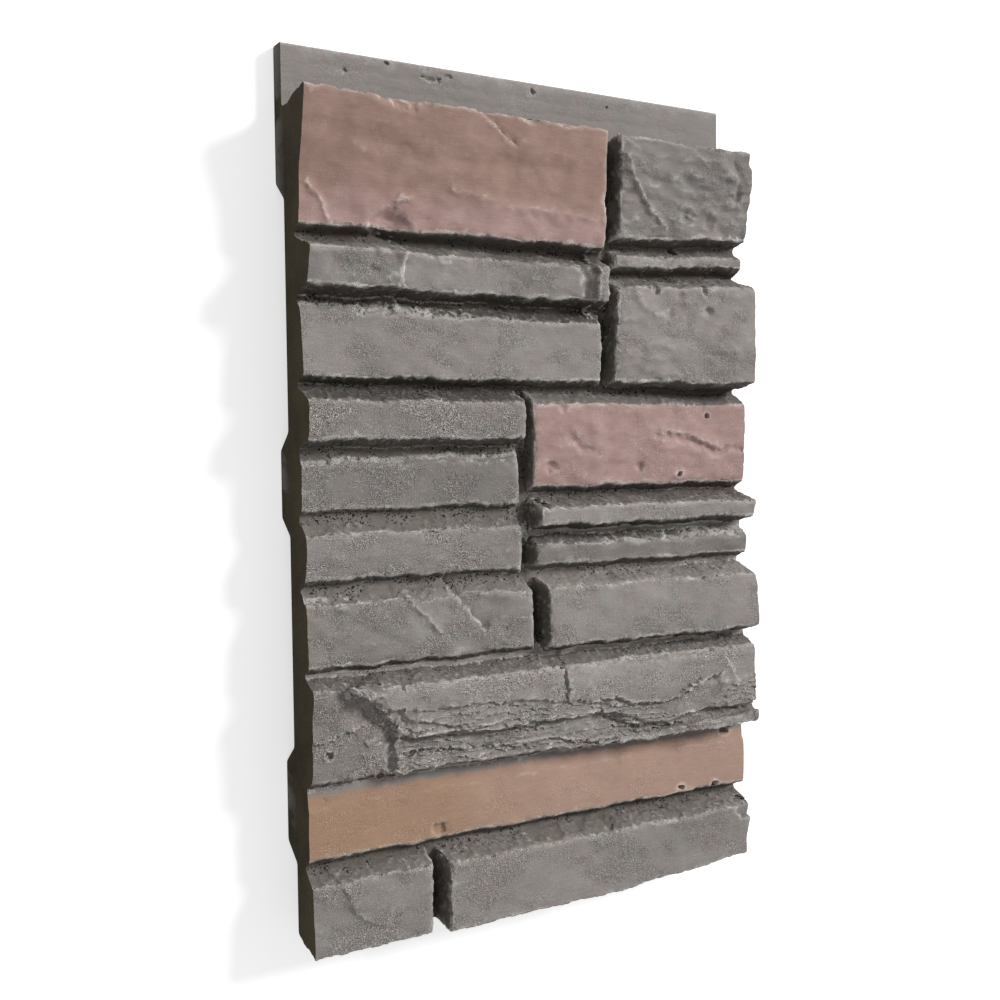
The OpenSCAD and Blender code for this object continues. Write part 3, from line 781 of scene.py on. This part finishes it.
# The dry brush: along the rims and edges, and in clusters of specks on the grit
rim_width = add_node(tree, "ShaderNodeMapRange", {"Value": number["rim"], "From Min": 0.05, "From Max": 0.5}).outputs[0]
proud = add_node(tree, "ShaderNodeMapRange", {"Value": number["edge"], "From Min": 0.1, "From Max": 0.7}).outputs[0]
worn = add_node(tree, "ShaderNodeMath", {0: rim_width, 1: proud}, operation="MAXIMUM").outputs[0]
caught = add_node(tree, "ShaderNodeMapRange", {"Value": sand, "From Min": 0.34, "From Max": 0.52}).outputs[0]
specks = add_node(tree, "ShaderNodeMapRange", {"Value": sand, "From Min": 0.53, "From Max": 0.64}).outputs[0]
on_grit = add_node(tree, "ShaderNodeMapRange", {"Value": grit, "From Min": 0.44, "From Max": 0.56}).outputs[0]
specks = add_node(tree, "ShaderNodeMath", {0: specks, 1: on_grit}, operation="MULTIPLY").outputs[0]
in_clusters = add_node(tree, "ShaderNodeMapRange", {"Value": blotches, "From Min": 0.5, "From Max": 0.62}).outputs[0]
on_edges = add_node(tree, "ShaderNodeMath", {0: worn, 1: caught}, operation="MULTIPLY").outputs[0]
patchily = add_node(tree, "ShaderNodeMath", {0: on_edges, 1: in_clusters}, operation="MULTIPLY").outputs[0]
on_edges = add_node(tree, "ShaderNodeMath", {0: on_edges, 1: patchily}, operation="ADD").outputs[0]
on_edges = add_node(tree, "ShaderNodeMath", {0: on_edges, 1: 0.6}, operation="MULTIPLY").outputs[0]
faint = add_node(tree, "ShaderNodeMath", {0: specks, 1: number["rough"]}, operation="MULTIPLY").outputs[0]
faint = add_node(tree, "ShaderNodeMath", {0: faint, 1: 0.4}, operation="MULTIPLY").outputs[0]
brush = add_node(tree, "ShaderNodeMath", {0: on_edges, 1: faint}, operation="ADD", use_clamp=True).outputs[0]
catching = add_node(
    tree, "ShaderNodeMix", {0: 0.55, 6: toned, 7: linear("#e4ded8")}, data_type="RGBA"
).outputs[2]

# The joints: walls of darker mortar with open pores. Painted shade makes their shaded side nearly black, and darkens
# deep hollows and creases.
plain_mortar = add_node(
    tree, "ShaderNodeMix", {0: blotch, 6: linear("#524c46"), 7: linear("#645e59")}, data_type="RGBA"
).outputs[2]
# The mortar darkened or lightened wall by wall; the darkening is partly painted shadow
mortar = add_node(
    tree, "ShaderNodeHueSaturation", {"Color": plain_mortar, "Value": number["wall_shade_and_tone"]}
).outputs[0]
sunken = add_node(
    tree, "ShaderNodeMapRange", {"Value": number["hollow"], "From Min": 1.5, "From Max": -2.5, "To Min": 0.55, "To Max": 1.0}
).outputs[0]
at_wall = add_node(tree, "ShaderNodeMath", {0: number["wall"], 1: sunken}, operation="MULTIPLY").outputs[0]
at_wall = add_node(tree, "ShaderNodeMath", {0: at_wall, 1: number["wall_shade_and_tone"]}, operation="DIVIDE").outputs[0]
with_mortar = add_node(tree, "ShaderNodeMix", {0: at_wall, 6: toned, 7: mortar}, data_type="RGBA").outputs[2]
# Painted shade: the shaded side of each wall is mixed halfway towards near black
shaded = add_node(tree, "ShaderNodeMath", {0: number["shade_side"], 1: 0.5}, operation="MULTIPLY").outputs[0]
with_shade = add_node(
    tree, "ShaderNodeMix", {0: shaded, 6: with_mortar, 7: linear("#3c382f")}, data_type="RGBA"
).outputs[2]
# Painted shade: the deepest parts of the joints and concave creases are darkened towards near black
deep = add_node(tree, "ShaderNodeMapRange", {"Value": number["hollow"], "From Min": -3.5, "From Max": -7.0}).outputs[0]
painted_crease_shade = add_node(
    tree, "ShaderNodeMapRange", {"Value": number["edge"], "From Min": -0.5, "From Max": -1.6, "To Max": 0.45}
).outputs[0]
deep = add_node(tree, "ShaderNodeMath", {0: deep, 1: painted_crease_shade}, operation="MAXIMUM").outputs[0]
painted_shade_share = add_node(tree, "ShaderNodeMath", {0: deep, 1: 0.6}, operation="MULTIPLY").outputs[0]
in_shade = add_node(
    tree, "ShaderNodeMix", {0: painted_shade_share, 6: with_shade, 7: linear("#332f2b")}, data_type="RGBA"
).outputs[2]
brushed = add_node(tree, "ShaderNodeMix", {0: brush, 6: in_shade, 7: catching}, data_type="RGBA").outputs[2]
foam_cells = add_node(tree, "ShaderNodeTexNoise", {"Vector": place, **pattern(1.5, 1)}).outputs["Fac"]
pore = add_node(tree, "ShaderNodeMapRange", {"Value": foam_cells, "From Min": 0.49, "From Max": 0.43}).outputs[0]
clusters = add_node(tree, "ShaderNodeMapRange", {"Value": blotches, "From Min": 0.47, "From Max": 0.51}).outputs[0]
some_cells = add_node(tree, "ShaderNodeMapRange", {"Value": grit, "From Min": 0.46, "From Max": 0.49}).outputs[0]
low_down = add_node(tree, "ShaderNodeMapRange", {"Value": number["hollow"], "From Min": 0.6, "From Max": -0.8}).outputs[0]
for share in (clusters, some_cells, low_down, number["wall"]):
    pore = add_node(tree, "ShaderNodeMath", {0: pore, 1: share}, operation="MULTIPLY").outputs[0]
with_pores = add_node(
    tree, "ShaderNodeMix", {0: pore, 6: brushed, 7: linear("#15120f")}, data_type="RGBA"
).outputs[2]

# Relief too fine for the mesh: grit and sand of 0.3 mm, and the pores
height = add_node(tree, "ShaderNodeMath", {0: grit, 1: sand}, operation="ADD").outputs[0]
height = add_node(tree, "ShaderNodeMath", {0: height, 1: pore}, operation="SUBTRACT").outputs[0]
strength = add_node(tree, "ShaderNodeMath", {0: number["rough"], 1: 1.0}, operation="MINIMUM").outputs[0]
bump = add_node(
    tree, "ShaderNodeBump", {"Height": height, "Strength": strength, "Distance": 0.9 * MM}
).outputs[0]
roughness = add_node(
    tree, "ShaderNodeMapRange", {"Value": grit, "To Min": 0.78, "To Max": 0.95}
).outputs[0]
shader = add_node(
    tree, "ShaderNodeBsdfPrincipled",
    {"Base Color": with_pores, "Roughness": roughness, "Normal": bump, "Specular IOR Level": 0.3},
)
add_node(tree, "ShaderNodeOutputMaterial", {"Surface": shader.outputs[0]})

# %% [markdown]
# ## The sawn ends
# A saw opens the foam's cells, so the ends are bare, dark brown-grey and dull,
# with fine pores and the faint upright lines of the blade. Some of the grey spray
# has drifted onto the edges of the back ribs.

# %% Sawn foam
sawn_foam = material("sawn_polyurethane_foam")
tree = sawn_foam.node_tree
place = add_node(tree, "ShaderNodeTexCoord").outputs["Object"]
clouds = add_node(tree, "ShaderNodeTexNoise", {"Vector": place, **pattern(25, 4)}).outputs["Fac"]
cells = add_node(tree, "ShaderNodeTexNoise", {"Vector": place, **pattern(0.9, 2)}).outputs["Fac"]
stretched = add_node(tree, "ShaderNodeMapping", {"Vector": place, "Scale": (1, 1, 0.06)}).outputs[0]
blade = add_node(tree, "ShaderNodeTexNoise", {"Vector": stretched, **pattern(1.6, 2)}).outputs["Fac"]
shade = add_node(tree, "ShaderNodeMapRange", {"Value": clouds, "From Min": 0.35, "From Max": 0.65}).outputs[0]
bare = add_node(
    tree, "ShaderNodeMix", {0: shade, 6: linear("#342c20"), 7: linear("#463d2c")}, data_type="RGBA"
).outputs[2]
flecked = add_node(
    tree, "ShaderNodeMix",
    {0: add_node(tree, "ShaderNodeMapRange", {"Value": cells, "From Min": 0.5, "From Max": 0.75, "To Max": 0.35}).outputs[0],
     6: bare, 7: linear("#665c49")},
    data_type="RGBA",
).outputs[2]
level = add_node(tree, "ShaderNodeSeparateXYZ", {0: place}).outputs["Z"]
near_back = add_node(tree, "ShaderNodeMapRange", {"Value": level, "From Min": 16 * MM, "From Max": 3 * MM}).outputs[0]
drift = add_node(tree, "ShaderNodeTexNoise", {"Vector": place, **pattern(30, 3)}).outputs["Fac"]
drift = add_node(tree, "ShaderNodeMapRange", {"Value": drift, "From Min": 0.5, "From Max": 0.6}).outputs[0]
drift = add_node(tree, "ShaderNodeMath", {0: drift, 1: near_back}, operation="MULTIPLY").outputs[0]
sprayed = add_node(
    tree, "ShaderNodeMix", {0: drift, 6: flecked, 7: linear("#77736d")}, data_type="RGBA"
).outputs[2]
height = add_node(tree, "ShaderNodeMath", {0: cells, 1: blade}, operation="ADD").outputs[0]
bump = add_node(tree, "ShaderNodeBump", {"Height": height, "Strength": 0.7, "Distance": 0.4 * MM}).outputs[0]
shader = add_node(
    tree, "ShaderNodeBsdfPrincipled",
    {"Base Color": sprayed, "Roughness": 0.93, "Normal": bump, "Specular IOR Level": 0.25},
)
add_node(tree, "ShaderNodeOutputMaterial", {"Surface": shader.outputs[0]})

# %% [markdown]
# ## The back
# The back is the foam's own moulded skin, unpainted: closed and a little smoother
# than the saw cut, with shallow flow marks and a few burst bubbles.

# %% Moulded foam skin
back_foam = material("moulded_polyurethane_foam_skin")
tree = back_foam.node_tree
place = add_node(tree, "ShaderNodeTexCoord").outputs["Object"]
flow = add_node(tree, "ShaderNodeTexNoise", {"Vector": place, **pattern(70, 4)}).outputs["Fac"]
skin = add_node(tree, "ShaderNodeTexNoise", {"Vector": place, **pattern(5, 3)}).outputs["Fac"]
tone = add_node(tree, "ShaderNodeMapRange", {"Value": flow, "From Min": 0.35, "From Max": 0.65}).outputs[0]
bare = add_node(
    tree, "ShaderNodeMix", {0: tone, 6: linear("#554d43"), 7: linear("#6a6156")}, data_type="RGBA"
).outputs[2]
bubbles = add_node(tree, "ShaderNodeTexVoronoi", {"Vector": place, "Scale": 1 / (11 * MM)}).outputs["Distance"]
burst = add_node(tree, "ShaderNodeMapRange", {"Value": bubbles, "From Min": 0.16, "From Max": 0.09}).outputs[0]
pitted = add_node(
    tree, "ShaderNodeMix", {0: burst, 6: bare, 7: linear("#2e2923")}, data_type="RGBA"
).outputs[2]
height = add_node(tree, "ShaderNodeMath", {0: skin, 1: burst}, operation="SUBTRACT").outputs[0]
bump = add_node(tree, "ShaderNodeBump", {"Height": height, "Strength": 0.6, "Distance": 0.6 * MM}).outputs[0]
shader = add_node(
    tree, "ShaderNodeBsdfPrincipled",
    {"Base Color": pitted, "Roughness": 0.72, "Normal": bump, "Specular IOR Level": 0.35},
)
add_node(tree, "ShaderNodeOutputMaterial", {"Surface": shader.outputs[0]})

# %% [markdown]
# ## Which face has which finish
# The sawn ends lie in the two cutting planes. The back is what faces down below
# the stonework. All the rest is painted.

# %% Finishes on the faces
for finish in (painted_foam, sawn_foam, back_foam):
    panel.data.materials.append(finish)
centres = np.empty(3 * len(panel.data.polygons), dtype=np.float32)
panel.data.polygons.foreach_get("center", centres)
centres = centres.reshape(-1, 3)
normals = np.empty(3 * len(panel.data.polygons), dtype=np.float32)
panel.data.polygons.foreach_get("normal", normals)
normals = normals.reshape(-1, 3)
is_sawn = (np.abs(normals[:, 0]) > 0.99) & (np.abs(centres[:, 0]) > SAW_X - 0.1 * MM)
is_back = (normals[:, 2] < -0.15) & (centres[:, 2] < SEAT_LEVEL)
finish_of = np.where(is_sawn, 1, np.where(is_back, 2, 0))
panel.data.polygons.foreach_set("material_index", finish_of.astype(np.int32))
panel.data.update()
print("Faces painted, sawn and bare:", [int((finish_of == k).sum()) for k in range(3)])

# %% The panel in its frame
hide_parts("stone_panel")
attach(panel, "root")
